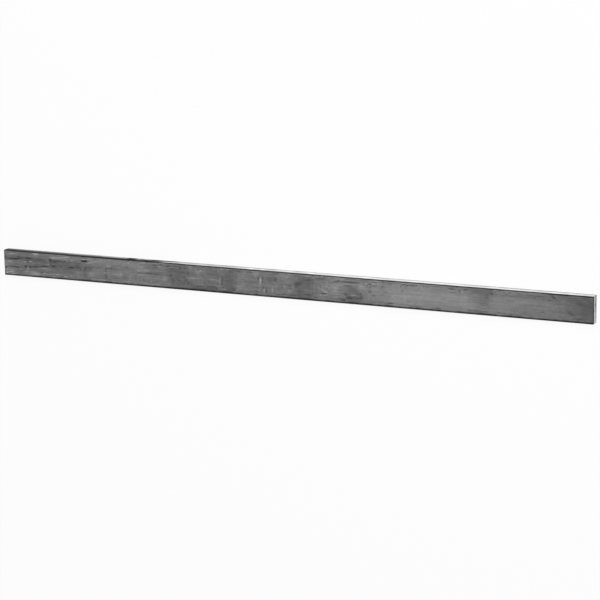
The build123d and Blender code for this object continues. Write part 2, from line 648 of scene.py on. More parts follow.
# Those of the quarter left of the middle
SECOND_QUARTER = (
    Mark(-226, 14.6, 9, 1.6, 0.70, 15),
    Mark(-218.5, 16.2, 6, 1.8, 1.10),
    Mark(-226.5, 9.0, 9, 2.8, 0.55),
    Mark(-228, 15.8, 6, 1.4, -0.60, 20),
    Mark(-215, 11.5, 13, 6.0, -0.25),
    Mark(-217, 4.4, 28, 2.0, 0.55, 2),
    Mark(-212, 1.2, 14, 2.4, -1.05),
    Mark(-198, 1.2, 14, 2.4, -0.60),
    Mark(-226, 0.8, 10, 1.8, -0.70),
    Mark(-225, -2.3, 11, 2.0, 0.50),
    Mark(-220, -9.4, 5, 3.0, -0.50),
    Mark(-207.6, -11.3, 3, 2.6, 0.50),
    Mark(-208, -13.4, 3.4, 1.4, -0.50),
    Mark(-200, -10.2, 12, 1.4, -0.50),
    Mark(-204, -14.8, 26, 1.4, 0.40, 1),
    Mark(-200, 13.8, 11, 1.8, -1.60),
    Mark(-201, 15.9, 10, 1.4, 0.40),
    Mark(-193, 12.6, 8, 1.8, 0.90),
    Mark(-200, 10.6, 11, 1.5, -1.20),
    Mark(-191.2, 14.9, 5, 2.0, -1.50),
    Mark(-179, 14.0, 9, 1.8, -1.60, 8),
    Mark(-173, 12.4, 13, 1.6, 1.10),
    Mark(-171, 14.2, 10, 1.4, -0.80),
    Mark(-173, 10.6, 13, 1.4, -0.90),
    Mark(-182, 9.0, 5, 1.6, -0.80),
    Mark(-159.6, 12.4, 3.4, 5.0, -0.80),
    Mark(-163.4, 12.6, 3.4, 3.0, 0.60),
    Mark(-151.8, 12.6, 3.6, 2.0, -1.60),
    Mark(-143, 15.8, 8, 1.6, 1.20),
    Mark(-142.2, 13.1, 6, 1.6, 1.00),
    Mark(-135, 13.0, 6, 4.0, 0.40),
    Mark(-126.4, 11.4, 3, 2.0, 1.40),
    Mark(-126.3, 13.4, 2.6, 1.6, -0.60),
    Mark(-126.3, 9.6, 2.6, 1.4, -0.50),
    Mark(-175, 0.6, 4.4, 4.4, -1.00),
    Mark(-171, -7.5, 6, 10.0, -0.45),
    Mark(-184.5, -4.5, 8, 7.0, 0.50),
    Mark(-161.5, -5.6, 5, 2.6, -0.50),
    Mark(-147, 5.0, 6, 4.4, -0.80),
    Mark(-160, 7.6, 4, 2.4, 0.30),
    Mark(-153, -0.2, 4, 4.0, -0.50),
    Mark(-150, -4.2, 5, 3.4, -0.80, 20),
    Mark(-146.6, -8.0, 4.5, 5.0, -0.80),
    Mark(-142, -9.6, 2.4, 3.4, -0.80),
    Mark(-153.2, -9.0, 2.4, 5.0, -0.50),
    Mark(-150.8, -10.0, 2.4, 5.0, 0.50),
    Mark(-141, -0.6, 12, 2.6, 0.75, 3),
    Mark(-131, 0.0, 12, 2.4, 0.55),
    Mark(-126, -8.8, 7, 2.2, 0.55),
    Mark(-127, -11.6, 10, 2.4, -0.60),
    Mark(-128, -13.6, 28, 4.0, -0.45),
    Mark(-124, 4.4, 9, 2.6, -0.40),
    Mark(-133, 8.5, 9, 6.0, 0.35),
    Mark(-120.6, -6.4, 5, 6.0, -0.40),
    Mark(-208, -17.0, 30, 2.0, -0.80),
    Mark(-190, -17.2, 7, 2.0, 0.70),
    Mark(-160, -16.8, 28, 2.4, -0.90),
    Mark(-134, -16.6, 40, 3.0, -1.10),
    Mark(-107, -0.4, 11, 2.6, 0.95, 6),
    Mark(-99, -5.6, 9, 9.0, 0.40),
    Mark(-99, -5.8, 3.4, 4.5, -0.80),
    Mark(-98, -1.0, 7, 2.4, 0.40, 20),
    Mark(-102, -8.6, 8, 2.0, 0.40, -25),
    Mark(-99, 3.4, 4, 3.6, -0.50),
    Mark(-92.6, -5.2, 3.4, 5.0, -1.00),
    Mark(-91.6, 1.2, 3.4, 10.0, -0.85),
    Mark(-96.2, -2.6, 2.2, 7.0, 0.50),
    Mark(-90.2, -13.2, 10, 1.5, 1.50, 3),
    Mark(-91, -10.8, 5, 2.4, -0.80),
    Mark(-74, -12.6, 6, 3.0, -0.90),
    Mark(-101.6, -12.6, 3, 3.4, -0.90),
    Mark(-110, -12.4, 16, 5.0, -0.60),
    Mark(-66, -11.4, 9, 2.4, 0.40, 5),
    Mark(-59.6, -9.4, 4, 2.0, -0.40),
    Mark(-54, -14.6, 4, 2.4, 0.50),
    Mark(-98.6, 13.4, 2.4, 6.0, 0.60),
    Mark(-91.6, 14.6, 8, 2.4, 0.40),
    Mark(-81.4, 15.9, 8, 1.6, 1.30),
    Mark(-83.2, 13.2, 5, 1.6, 0.90),
    Mark(-79.4, 14.2, 5, 1.6, -0.60),
    Mark(-72.2, 10.6, 3, 6.0, 0.40),
    Mark(-66.5, 15.2, 7, 2.4, -0.70),
    Mark(-56, 12.0, 12, 5.0, 0.25),
    Mark(-41.5, 16.0, 9, 1.6, 0.90),
    Mark(-45, 14.2, 12, 1.3, -0.35),
    Mark(-40, 12.6, 11, 3.2, 0.45),
    Mark(-35.4, 14.0, 2.2, 6.0, 0.40),
    Mark(-31.2, 4.0, 2.8, 7.0, 1.20, -2),
    Mark(-31.4, 2.6, 3.2, 18.0, 0.60, -4),
    Mark(-33, -3.0, 2.6, 5.0, 0.35),
    Mark(-34.8, 6.6, 2.2, 7.0, -0.90),
    Mark(-27.6, 8.0, 2.2, 4.0, -1.30),
    Mark(-28.2, 2.0, 2.0, 8.0, -0.80),
    Mark(-26.8, -5.2, 2.6, 2.2, -1.10),
    Mark(-25.7, -10.2, 2.6, 7.0, 1.30),
    Mark(-22.4, -11.0, 2.4, 6.0, -1.20),
    Mark(-33.6, -10.2, 4, 2.4, 0.60),
    Mark(-37.6, -12.4, 4, 2.0, -1.10),
    Mark(-36.6, -6.6, 2.2, 3.0, -0.60),
    Mark(-18, 15.4, 14, 2.0, 0.80, 2),
    Mark(-18, 10.8, 14, 1.6, 0.40),
    Mark(-17, 13.2, 14, 1.6, -0.35),
    Mark(-16, 7.2, 18, 5.0, -0.60),
    Mark(-8, 6.6, 3.6, 6.0, -0.90),
    Mark(-6, 12.6, 6, 3.0, 0.60),
    Mark(-3, 9.4, 4, 3.0, 0.45),
    Mark(-12.8, -7.2, 2.4, 2.6, 1.10),
    Mark(-12.8, -10.5, 2.4, 2.6, 1.10),
    Mark(-13, -6.0, 3.4, 9.0, 0.25),
    Mark(-10, -9.0, 2.2, 4.0, -0.60),
    Mark(-16.6, -6.4, 2.4, 4.0, 0.40),
    Mark(-3, -13.6, 4, 1.6, -1.00),
    Mark(-107, -17.0, 16, 2.6, -1.00),
    Mark(-87, -16.8, 18, 2.6, -1.20),
    Mark(-66, -17.2, 5, 2.0, -0.50),
    Mark(-52.6, -17.2, 4, 2.0, -0.50),
    Mark(-35.6, -16.8, 6, 2.2, -0.80),
    Mark(-5, -17.0, 10, 2.2, -0.80),
    Mark(-81.4, 17.6, 7, 1.8, -1.20),
    Mark(-101.4, 17.8, 4, 1.6, -0.80),
    Mark(-59, 17.8, 8, 1.4, -0.70),
)

# Those of the quarter right of the middle
THIRD_QUARTER = (
    Mark(1.5, 16.2, 7, 1.8, 1.00),
    Mark(9, 11.5, 8, 2.0, 0.55),
    Mark(16, 15.6, 10, 1.8, 0.65),
    Mark(3, 9.4, 4, 3.4, 0.35),
    Mark(6.2, -2.0, 2.6, 5.0, 0.60),
    Mark(19.4, -1.5, 2.4, 8.0, 0.45),
    Mark(12.6, -7.8, 3, 3.0, 0.45),
    Mark(14, -1.4, 6, 6.0, -0.55),
    Mark(2.4, -2.4, 3, 6.0, -0.30),
    Mark(27, 3.6, 11, 5.0, -0.80),
    Mark(24, -1.2, 4, 3.4, -0.50),
    Mark(29, -9.0, 5, 10.0, -0.40),
    Mark(41, 9.8, 18, 2.4, -0.60, 4),
    Mark(36, 11.8, 3, 1.8, -0.60),
    Mark(41, 15.4, 9, 2.0, 1.15, -4),
    Mark(31, 15.0, 9, 1.6, 0.55, 5),
    Mark(25.6, 11.0, 3, 2.0, 0.60),
    Mark(50.2, 13.0, 3, 1.8, 1.30),
    Mark(50, 11.2, 2.6, 1.6, -0.80),
    Mark(49.8, 16.6, 2.6, 2.0, -0.70),
    Mark(49.6, 0.0, 1.6, 20.0, -0.45),
    Mark(42.5, -1.6, 13, 1.3, 0.35),
    Mark(42.5, -4.4, 13, 1.3, 0.40),
    Mark(42.5, -8.0, 13, 1.8, 0.50),
    Mark(42.5, -10.4, 13, 1.8, -0.90),
    Mark(52.6, -2.0, 3.4, 10.0, 0.30),
    Mark(62.4, 2.6, 2.6, 5.0, -0.60),
    Mark(65.4, -1.2, 6, 1.8, 0.60),
    Mark(70, 3.4, 4, 4.0, 0.40),
    Mark(70, -4.2, 7, 2.4, 1.00),
    Mark(72.4, 0.8, 2.0, 2.0, -0.80),
    Mark(66.8, -6.9, 9, 1.9, -1.90),
    Mark(61.7, -9.2, 2.6, 2.6, 1.10),
    Mark(70, -9.0, 11, 1.8, 0.50),
    Mark(70.6, -11.8, 6, 1.8, -0.50),
    Mark(63.8, 16.5, 5, 1.5, 1.10, 8),
    Mark(58.6, 13.4, 10, 1.5, -0.90, 10),
    Mark(66.5, 14.6, 9, 1.3, -0.80, 12),
    Mark(65, 12.8, 8, 1.4, -0.70, 5),
    Mark(57, 15.2, 8, 1.6, 0.40, 8),
    Mark(61.6, 15.2, 2.4, 2.0, -0.70),
    Mark(75.6, 16.0, 6, 1.8, 1.00),
    Mark(78, 12.8, 6, 3.4, 0.50),
    Mark(85, 11.2, 14, 2.6, -0.70, 13),
    Mark(89.4, 13.0, 4, 3.4, -0.70),
    Mark(94.5, 15.6, 8, 2.2, 0.85),
    Mark(108, 11.8, 28, 2.4, -1.50),
    Mark(108, 13.9, 22, 1.3, 0.40),
    Mark(104, 6.4, 13, 2.2, -0.90),
    Mark(106, 8.8, 20, 2.0, 0.45),
    Mark(93, 8.8, 6, 2.4, 0.35),
    Mark(85.6, -0.6, 5, 5.0, 0.25),
    Mark(84.9, 2.8, 2.4, 1.8, 0.50),
    Mark(86.6, 5.0, 2.4, 2.0, 0.40),
    Mark(84.8, 5.8, 2.2, 2.0, -0.50),
    Mark(99.8, -5.2, 4, 5.0, -0.70),
    Mark(105.5, -10.6, 10, 3.0, -1.20, 5),
    Mark(109, -11.2, 4, 2.6, -0.80),
    Mark(105.6, -8.8, 5, 2.4, -0.50, 20),
    Mark(110.5, -6.4, 11, 1.8, 0.90, 6),
    Mark(113.4, -9.4, 6, 3.0, -0.80, 10),
    Mark(98.4, -8.6, 2.0, 4.0, 0.50),
    Mark(95.5, -13.8, 8, 3.4, -1.00),
    Mark(98.2, -14.6, 2.6, 2.6, -1.00),
    Mark(85, -11.2, 7, 2.2, 0.50, 8),
    Mark(5, -12.8, 12, 2.4, -0.65, 3),
    Mark(18, -13.4, 13, 1.8, -0.80, 4),
    Mark(55, -13.8, 7, 2.4, -0.90, 10),
    Mark(18, -16.8, 14, 2.8, -0.90),
    Mark(40, -16.7, 20, 3.2, -1.10),
    Mark(62, -17.2, 14, 2.0, -0.80),
    Mark(112, -16.6, 22, 3.0, -0.90),
    Mark(118, 15.0, 8, 1.3, -0.60),
    Mark(118, 16.4, 8, 1.4, 0.50),
    Mark(131.3, 12.3, 3.6, 3.4, 0.60),
    Mark(127.8, 10.4, 2.6, 3.0, -0.50),
    Mark(132.8, 8.8, 2.0, 4.0, -0.60),
    Mark(136.6, 11.1, 5, 1.8, -1.30),
    Mark(135.4, 9.2, 3, 1.5, 0.70),
    Mark(137.6, 7.8, 5, 1.5, -0.60),
    Mark(143.6, 9.4, 7, 2.0, -0.65),
    Mark(142.2, 12.5, 7, 1.8, 0.80),
    Mark(149.4, 13.0, 5, 2.0, 0.90),
    Mark(144.6, 14.4, 9, 1.3, -1.20, 3),
    Mark(147.4, 16.2, 9, 1.6, 1.00, 2),
    Mark(155.8, 9.3, 5, 1.8, -0.80, 5),
    Mark(156.6, 15.6, 3, 2.4, -0.90),
    Mark(155, 13.4, 6, 1.4, 0.40),
    Mark(137, 0.6, 6, 3.4, -0.75),
    Mark(142.6, -3.8, 7, 2.4, -0.80),
    Mark(134.8, -3.0, 2.2, 2.0, 0.50),
    Mark(134.8, -8.6, 2.4, 4.4, 0.60),
    Mark(127.6, -2.4, 4, 6.0, 0.30),
    Mark(143, -8.2, 7, 2.0, 0.65, 5),
    Mark(144.4, -9.9, 3, 1.5, -0.80),
    Mark(143.6, -11.6, 5, 1.5, 0.60, 6),
    Mark(143.4, -13.2, 5, 1.5, -0.70),
    Mark(122.6, -3.5, 3, 3.0, -1.10),
    Mark(118, -3.2, 8, 3.0, -0.60, 5),
    Mark(124, -9.0, 4.4, 7.0, -0.80),
    Mark(118.6, -10.3, 8, 3.0, -0.90, 8),
    Mark(167.5, -13.1, 9, 2.0, -1.80, 3),
    Mark(161, -14.4, 7, 2.0, -0.60, 6),
    Mark(152, -13.0, 12, 1.4, -0.45),
    Mark(170.6, -3.2, 2.4, 2.4, 0.50),
    Mark(189, -4.0, 4.5, 9.0, 0.35),
    Mark(192.6, -9.2, 2.6, 2.0, -0.60),
    Mark(184.8, 6.2, 4, 4.4, -0.50),
    Mark(182.6, 11.6, 2.8, 1.6, -1.20, 10),
    Mark(187, 14.2, 7, 1.8, -1.50, 8),
    Mark(186.4, 16.0, 6, 1.4, 1.20),
    Mark(187, 17.6, 6, 1.6, -1.20),
    Mark(190, 12.6, 4, 1.4, -0.70, 20),
    Mark(193.2, 13.8, 4.5, 2.0, -1.40, -8),
    Mark(200.6, 14.3, 11, 1.8, -1.30),
    Mark(206, 15.0, 2.6, 2.0, -0.70),
    Mark(208.4, 16.2, 5, 1.6, 0.40),
    Mark(216, 15.0, 2, 3.0, -0.70),
    Mark(220.4, 14.4, 5, 1.4, -0.60),
    Mark(207, 8.2, 22, 2.6, -0.20),
    Mark(168.4, 14.0, 6, 1.8, -0.65),
    Mark(204.3, -11.3, 2.6, 2.0, -0.70),
    Mark(206, -14.8, 20, 1.6, -1.00, -2),
    Mark(184, -13.8, 10, 1.3, -0.35),
    Mark(166, -16.7, 10, 3.0, -1.10),
    Mark(215, -17.3, 8, 2.0, -0.80),
    Mark(167, 17.6, 16, 1.4, -0.60),
    Mark(128, 17.6, 8, 2.4, 0.70),
    Mark(216, 17.6, 3, 2.0, 0.60),
)

# Those of the right quarter
RIGHT_QUARTER = (
    Mark(235, 15.6, 11, 2.0, -0.55),
    Mark(257.6, 14.0, 10, 2.0, -1.30, -5),
    Mark(258, 11.6, 11, 1.8, 0.30),
    Mark(258.6, 9.4, 12, 1.8, -1.00),
    Mark(265, 17.4, 4, 2.2, -0.90),
    Mark(268.6, 12.2, 3.2, 6.0, -0.95, 10),
    Mark(268.8, 15.7, 5, 1.6, 0.80),
    Mark(273, 11.0, 4, 3.4, 0.70),
    Mark(278, 14.5, 7, 1.8, -1.40, 8),
    Mark(263.2, 3.2, 5, 3.0, 0.35),
    Mark(266.8, 6.0, 2.4, 1.5, -0.45),
    Mark(236.6, -5.6, 3.4, 8.0, 0.25),
    Mark(289.6, 8.7, 6, 1.6, 0.60),
    Mark(300, 12.4, 34, 6.0, -0.50),
    Mark(315.6, 11.7, 5, 2.6, -0.95),
    Mark(312, 13.6, 8, 2.0, -0.60, -5),
    Mark(308.2, 7.4, 6, 6.0, -0.55),
    Mark(312, 17.0, 14, 2.2, -0.90),
    Mark(302, 2.0, 12, 14.0, -0.25),
    Mark(306.5, -3.0, 5, 7.0, -0.25),
    Mark(317.6, 2.4, 3, 8.0, 0.30),
    Mark(319.4, 16.4, 5, 1.6, 1.30, 4),
    Mark(320, 14.8, 3.4, 1.4, -1.00),
    Mark(322.4, 12.9, 3, 1.5, 0.90),
    Mark(322, 11.3, 2.6, 1.5, -1.20),
    Mark(322.4, 9.7, 2.6, 1.5, 0.80),
    Mark(327.6, 11.4, 5, 1.6, 0.60),
    Mark(326.6, 17.2, 4, 1.8, -0.80),
    Mark(333.2, 14.9, 2.6, 2.0, -1.10),
    Mark(334.6, 16.3, 4, 1.6, 0.80),
    Mark(336.4, 12.6, 4, 1.6, -1.20, -10),
    Mark(337, 10.9, 4, 1.5, 0.60),
    Mark(340.2, 14.9, 4, 1.6, -1.10, -8),
    Mark(285.6, -7.7, 8, 2.0, 0.35),
    Mark(285.4, -11.2, 6, 2.4, 0.50),
    Mark(284, -13.4, 7, 1.8, -0.80),
    Mark(304, -7.8, 10, 1.5, 0.60, 6),
    Mark(304, -11.6, 11, 1.8, 0.60, 6),
    Mark(304, -9.6, 11, 1.6, -0.40, 6),
    Mark(293, -13.4, 11, 2.0, -0.65, 4),
    Mark(304, -13.8, 12, 2.0, -0.60),
    Mark(320, -13.6, 3, 3.0, 0.40),
    Mark(325.4, -13.0, 4, 1.8, -0.75),
    Mark(342.8, -14.2, 5, 2.0, -0.80, 10),
    Mark(237, -14.3, 8, 2.0, -1.10, 5),
    Mark(238.5, -17.2, 5, 1.8, -1.00),
    Mark(305, -16.9, 18, 2.4, -1.00),
    Mark(327, -17.2, 10, 2.0, 0.50),
    Mark(356, 16.5, 6, 1.6, 1.20, 3),
    Mark(366, 12.2, 46, 6.0, -0.35),
    Mark(360, 14.6, 10, 1.4, 0.60, 8),
    Mark(370.6, 16.2, 9, 1.6, 0.70, 5),
    Mark(354.4, 14.0, 2.6, 1.6, -0.70),
    Mark(376.2, 10.4, 3.4, 4.0, -0.50),
    Mark(388, 9.2, 3.0, 2.8, -0.50),
    Mark(387, 15.6, 8, 1.6, 0.50, 4),
    Mark(383, 13.4, 10, 1.4, -0.55, 5),
    Mark(402.4, 13.2, 9, 3.0, -1.30, -30),
    Mark(399, 16.9, 3, 1.6, 0.60),
    Mark(404, 16.0, 4, 1.3, 0.80),
    Mark(406, 17.4, 7, 1.8, -1.10),
    Mark(396.6, 9.0, 6, 2.0, -0.60, -10),
    Mark(403.6, 8.6, 3.4, 3.0, 0.40),
    Mark(415, 9.6, 9, 3.0, 0.30),
    Mark(423.2, 6.9, 2.8, 1.6, 0.70),
    Mark(428, 13.1, 18, 1.4, 0.70),
    Mark(430, 11.9, 20, 1.3, -0.60),
    Mark(430, 14.2, 22, 1.3, -0.75),
    Mark(430, 15.4, 24, 1.3, 0.70),
    Mark(439, 7.6, 12, 4.0, -0.60),
    Mark(445, 11.3, 3.4, 1.6, 1.30),
    Mark(445, 12.9, 3, 1.4, -0.70),
    Mark(453.6, 15.6, 7, 1.6, 1.30, 3),
    Mark(448.6, 8.8, 5, 1.4, 0.60, 3),
    Mark(455.4, 12.0, 1.8, 3.0, 0.80),
    Mark(392.8, 2.4, 4.5, 7.0, 0.30),
    Mark(415.4, -1.0, 6, 14.0, 0.25),
    Mark(425.6, -6.4, 12, 5.0, -0.50, -35),
    Mark(427.6, -8.4, 5, 3.0, -0.35),
    Mark(426.4, -12.2, 5, 2.6, 0.55, 8),
    Mark(432, -15.1, 5, 1.4, 1.60, 4),
    Mark(426, -15.3, 4, 1.4, 0.80),
    Mark(437, -13.2, 16, 2.2, -0.90, 4),
    Mark(415.6, -15.6, 5, 2.0, -0.50),
    Mark(450.5, -3.0, 11, 1.3, 0.45),
    Mark(450.5, -5.2, 11, 1.3, 0.50),
    Mark(450.5, -7.2, 11, 1.3, 0.35),
    Mark(450.5, -9.5, 11, 1.8, 0.85),
    Mark(450, -15.2, 12, 2.4, 0.75),
    Mark(352, -11.8, 7, 1.6, 0.60, 8),
    Mark(361.6, -15.2, 8, 1.6, 0.90),
    Mark(360, -17.3, 12, 1.6, -0.70),
    Mark(386.4, -7.8, 6, 1.5, -0.60, 5),
    Mark(387, -9.3, 5, 1.5, 0.55, 3),
    Mark(387.6, -17.4, 6, 1.6, -0.60),
    Mark(420.6, -16.8, 6, 2.4, -1.00),
    Mark(432.4, -17.3, 3.4, 2.0, -1.00),
    Mark(436.2, -16.6, 4, 2.8, -1.00),
)

# Patches on the bright edge, and dark ones on the top face's corner beside it
EDGE_MARKS = (
    Mark(-446, 1.5, 26, 7, -1.0, 0, Side.BRIGHT_EDGE),
    Mark(-418, 3.0, 18, 5, -0.6, 0, Side.BRIGHT_EDGE),
    Mark(-385, 3.5, 30, 5, -0.7, 0, Side.BRIGHT_EDGE),
    Mark(-330, -2.0, 70, 6, 0.5, 0, Side.BRIGHT_EDGE),
    Mark(-275, -2.5, 50, 8, 0.9, 0, Side.BRIGHT_EDGE),
    Mark(-242, -1.5, 13, 14, -4.2, 0, Side.BRIGHT_EDGE),
    Mark(-231, -1.5, 7, 7, 1.0, 0, Side.BRIGHT_EDGE),
    Mark(-216, 4.0, 12, 6, -2.6, 0, Side.BRIGHT_EDGE),
    Mark(-217, -3.5, 12, 5, 1.2, 0, Side.BRIGHT_EDGE),
    Mark(-201, -1.6, 22, 8, -2.6, -5, Side.BRIGHT_EDGE),
    Mark(-184, -3.0, 18, 6, -2.4, 3, Side.BRIGHT_EDGE),
    Mark(-171, -3.6, 18, 6, -2.6, -5, Side.BRIGHT_EDGE),
    Mark(-188, 4.2, 30, 3.4, 1.4, 0, Side.BRIGHT_EDGE),
    Mark(-90, -2.0, 200, 8, -0.28, 0, Side.BRIGHT_EDGE),
    Mark(-146, -1.0, 30, 8, -0.4, 0, Side.BRIGHT_EDGE),
    Mark(-113, -0.5, 15, 7, -0.7, 0, Side.BRIGHT_EDGE),
    Mark(-87, -1.0, 12, 9, -0.7, 0, Side.BRIGHT_EDGE),
    Mark(-49, 1.0, 10, 7, 0.8, 0, Side.BRIGHT_EDGE),
    Mark(-31, 1.0, 6, 8, 0.8, 0, Side.BRIGHT_EDGE),
    Mark(-15, -1.0, 12, 7, -0.6, 0, Side.BRIGHT_EDGE),
    Mark(24, -1.0, 12, 7, -0.6, 0, Side.BRIGHT_EDGE),
    Mark(45, 1.5, 11, 7, 0.8, 0, Side.BRIGHT_EDGE),
    Mark(70, -2.0, 20, 5, -0.4, 0, Side.BRIGHT_EDGE),
    Mark(124, 1.5, 20, 6, 0.5, 0, Side.BRIGHT_EDGE),
    Mark(160, -1.0, 24, 6, -0.4, 0, Side.BRIGHT_EDGE),
    Mark(197, 1.0, 20, 6, 0.4, 0, Side.BRIGHT_EDGE),
    Mark(240, 1.5, 9, 6, 0.5, 0, Side.BRIGHT_EDGE),
    Mark(268, 2.0, 14, 5, 0.6, 0, Side.BRIGHT_EDGE),
    Mark(300, -3.5, 90, 4, -0.4, 0, Side.BRIGHT_EDGE),
    Mark(404, 3.0, 13, 5, 1.0, 0, Side.BRIGHT_EDGE),
    Mark(425, 2.5, 9, 5, 0.8, 0, Side.BRIGHT_EDGE),
    Mark(400, -2.5, 120, 6, -0.7, 0, Side.BRIGHT_EDGE),
    Mark(448, -1.0, 16, 9, -0.6, 0, Side.BRIGHT_EDGE),
    Mark(399, 17.6, 10, 2.6, -1.8),
    Mark(415, 17.5, 19, 2.4, -1.5),
    Mark(447, 17.8, 14, 2.0, -1.2),
)

# The quarters' marks are toned down towards the right, where the scale is more even.
MARK_GROUPS = (
    MarkGroup(SOFT_TONES),
    MarkGroup(LEFT_QUARTER, light=0.97),
    MarkGroup(SECOND_QUARTER, light=0.62, dark=0.8),
    MarkGroup(THIRD_QUARTER, light=0.62, dark=0.88),
    MarkGroup(RIGHT_QUARTER, light=0.45, dark=0.78),
    MarkGroup(EDGE_MARKS),
)


@dataclass(frozen=True)
class RolledSkin:
    """The finish of the rolled faces: dark mill scale, worn to bare steel along the narrow edges, with
    painted shade and highlights in places.

    Lengths are in millimetres. Tones are in stops, and each whole stop doubles or halves the light.

    Attributes:
        sizes: The bar's sizes.
        scale_reflectance: The share of the light that plain scale reflects.
        steel_reflectance: The share that bare steel reflects.
        gloss: The specular level of both.
        roughness: The roughness of plain scale.
        streak_size: A lengthwise streak's size along each axis.
        streak_stops: How strongly streaks change the scale's tone.
        grain_size: A grain's size along each axis.
        grain_stops: How strongly grain changes the scale's tone.
        corner_shade_turn: How far from the corner its dark band begins, and where it is full.
        corner_shade_stops: How dark that band is. It is partly dark scale and partly painted shade.
        worn_turn: Where along the bar handling has begun to wear the edges, and where in full.
        bare_turn: Where along the bar the narrow edges turn to bare steel.
        off_floor_shade_turn: How high above the floor the bare steel begins, and where it is full. The
            scale left below it is partly painted contact shadow.
        covered_turn: How dark a mark is that covers the bare steel, from wholly to not at all.
        edge_turn: How far below the top face the scale on a narrow edge turns from dark to light.
        edge_stops: How dark it is above that, and how light below.
        rim_shade_turn: How far from the right end its rim's line of painted shade begins, and where it is
            full.
        rim_shade_stops: How dark that line is.
        mark_reach: How far a mark reaches out of its side and into the bar.
        mark_edge: Where a mark begins and where it is full, in its half sizes from its middle.
        batch: How many marks are drawn together.
        waver: How far a mark shifts for each stop of the marks under it.
    """

    sizes: BarSizes
    scale_reflectance: float = 0.152
    steel_reflectance: float = 0.62
    gloss: float = 0.25
    roughness: float = 0.52
    streak_size: Extent = (42, 1.7, 1.7)
    streak_stops: float = 1.5
    grain_size: Extent = (1.5, 1.1, 1.1)
    grain_stops: float = 0.9
    corner_shade_turn: Span = (2.1, 0.8)
    corner_shade_stops: float = 3.2
    worn_turn: Span = (-240, -160)
    bare_turn: Span = (-198, -166)
    off_floor_shade_turn: Span = (1.4, 4.4)
    covered_turn: Span = (-2.0, -1.0)
    edge_turn: Span = (2.5, 8)
    edge_stops: float = 1.0
    rim_shade_turn: Span = (1.4, 0.4)
    rim_shade_stops: float = 0.9
    mark_reach: float = 2.2
    mark_edge: Span = (1.5, 0.3)
    batch: int = 24
    waver: float = 0.3

    def build(self) -> bpy.types.Material:
        """Makes the material.

        Returns:
            The finish of the rolled faces.
        """
        material, bench = new_material("mill_scale")
        place = place_in_mm(bench)
        narrow, corner = self.regions(bench, place)
        streaks = bench.cloud(place, self.streak_size, 3, Seed.STREAKS)
        grain = bench.cloud(place, self.grain_size, 2, Seed.GRAIN)
        streaks = streaks * self.streak_strength(bench, place)
        marks = self.marks(bench, place)
        bare = self.bare(bench, place, narrow) * bench.ramp(marks, *self.covered_turn)
        weather = self.weather(bench, place)
        stops = marks + weather + streaks * self.streak_stops + grain * self.grain_stops
        # dark adds the corner bands (partly painted shade), the painted shade along the right end's rim,
        # and the narrow edges' darker scale under the top face.
        dark = corner * self.corner_shade_depth(bench, place) + self.burr(bench, place) * self.rim_shade_stops
        dark = dark + narrow * self.edge_depth(bench, place)
        scale = self.scale_reflectance * 2 ** (stops - dark)
        # The bare steel's tone, with painted highlights in it.
        polish_and_glints = streaks * 0.6 + grain * 0.4 + marks * 0.6 + self.steel_tone_and_glints(bench, place)
        steel = self.steel_reflectance * 2 ** polish_and_glints
        reflectance = scale + (steel - scale) * bare
        uneven = streaks * 0.25 + grain * 0.2
        roughness = self.roughness + uneven + narrow * 0.4 - bare * 0.6 + corner * 0.3
        height = streaks * 0.02 + grain * 0.03 + self.pits(bench, place)
        surface = bench.field(
            "ShaderNodeBsdfPrincipled",
            None,
            {
                "Base Color": reflectance,
                "Roughness": roughness,
                "Metallic": bare * 0.7 + 0.2 - corner * 0.2,
                "Specular IOR Level": self.gloss,
                "Normal": bench.field("ShaderNodeBump", None, {"Distance": MM, "Height": height}),
            },
        )
        bench.node("ShaderNodeOutputMaterial", None, {"Surface": surface})
        return material

    def regions(self, bench: NodeBench, place: Field) -> Sequence[Field]:
        """Tells the narrow edges and the dark bands of the rolled corners from the broad faces.

        A band is drawn in to the corner where the distance to it is stretched, and let out where it
        is shrunk. It is narrowest along the bright edge at the left and widest along the far edge,
        where handling has rubbed its outer side a little lighter. The bands are partly dark scale and
        partly
        painted shade: corners turned from the light, and the contact shadow beside the far edge.

        Args:
            bench: The material's bench.
            place: The shaded point in millimetres.

        Returns:
            How far the point is past the corner on a narrow edge, and how far it is in a band.
        """
        along, across, through = bench.split(place)
        half_width = self.sizes.width / MM / 2
        half_thick = self.sizes.thickness / MM / 2
        to_edge = half_width - abs(across)
        to_broad = half_thick - abs(through - half_thick)
        narrow = bench.ramp(to_broad - to_edge, 0.0, 0.5)
        ragged = bench.cloud(place, (9, 3, 3), 3, Seed.RAGGED_BAND)
        worn = bench.ramp(along, *self.worn_turn)
        far_half = bench.ramp(across, 0.0, -1.0)
        bright_stretch = 1.2 - worn * 0.2
        stretch = bright_stretch + (0.6 - bright_stretch) * far_half
        depth = bench.most(to_edge * stretch, to_broad) + ragged * 1.8
        rubbed = bench.ramp(to_edge, 1.1, 0.3) * far_half * (worn * 0.5 + 0.3)
        thinned = narrow * (worn * 1.15 - 0.4)
        # Painted shade in part: the bands stand for dark scale and for the shade of corners turned from the
        # light.
        corner = bench.ramp(depth, *self.corner_shade_turn) * (1 - thinned) * (1 - rubbed)
        return narrow, corner

    def bare(self, bench: NodeBench, place: Field, narrow: Field) -> Field:
        """Says where the narrow edges are worn to bare steel: everywhere but near the left end and along
        the floor, where the scale left is partly painted contact shadow.

        Args:
            bench: The material's bench.
            place: The shaded point in millimetres.
            narrow: Where the narrow edges are.

        Returns:
            1 on bare steel and 0 on scale.
        """
        along, _, through = bench.split(place)
        patches = bench.cloud(place, (16, 8, 5), 3, Seed.WORN_PATCHES)
        worn = bench.ramp(along + patches * 100, *self.bare_turn)
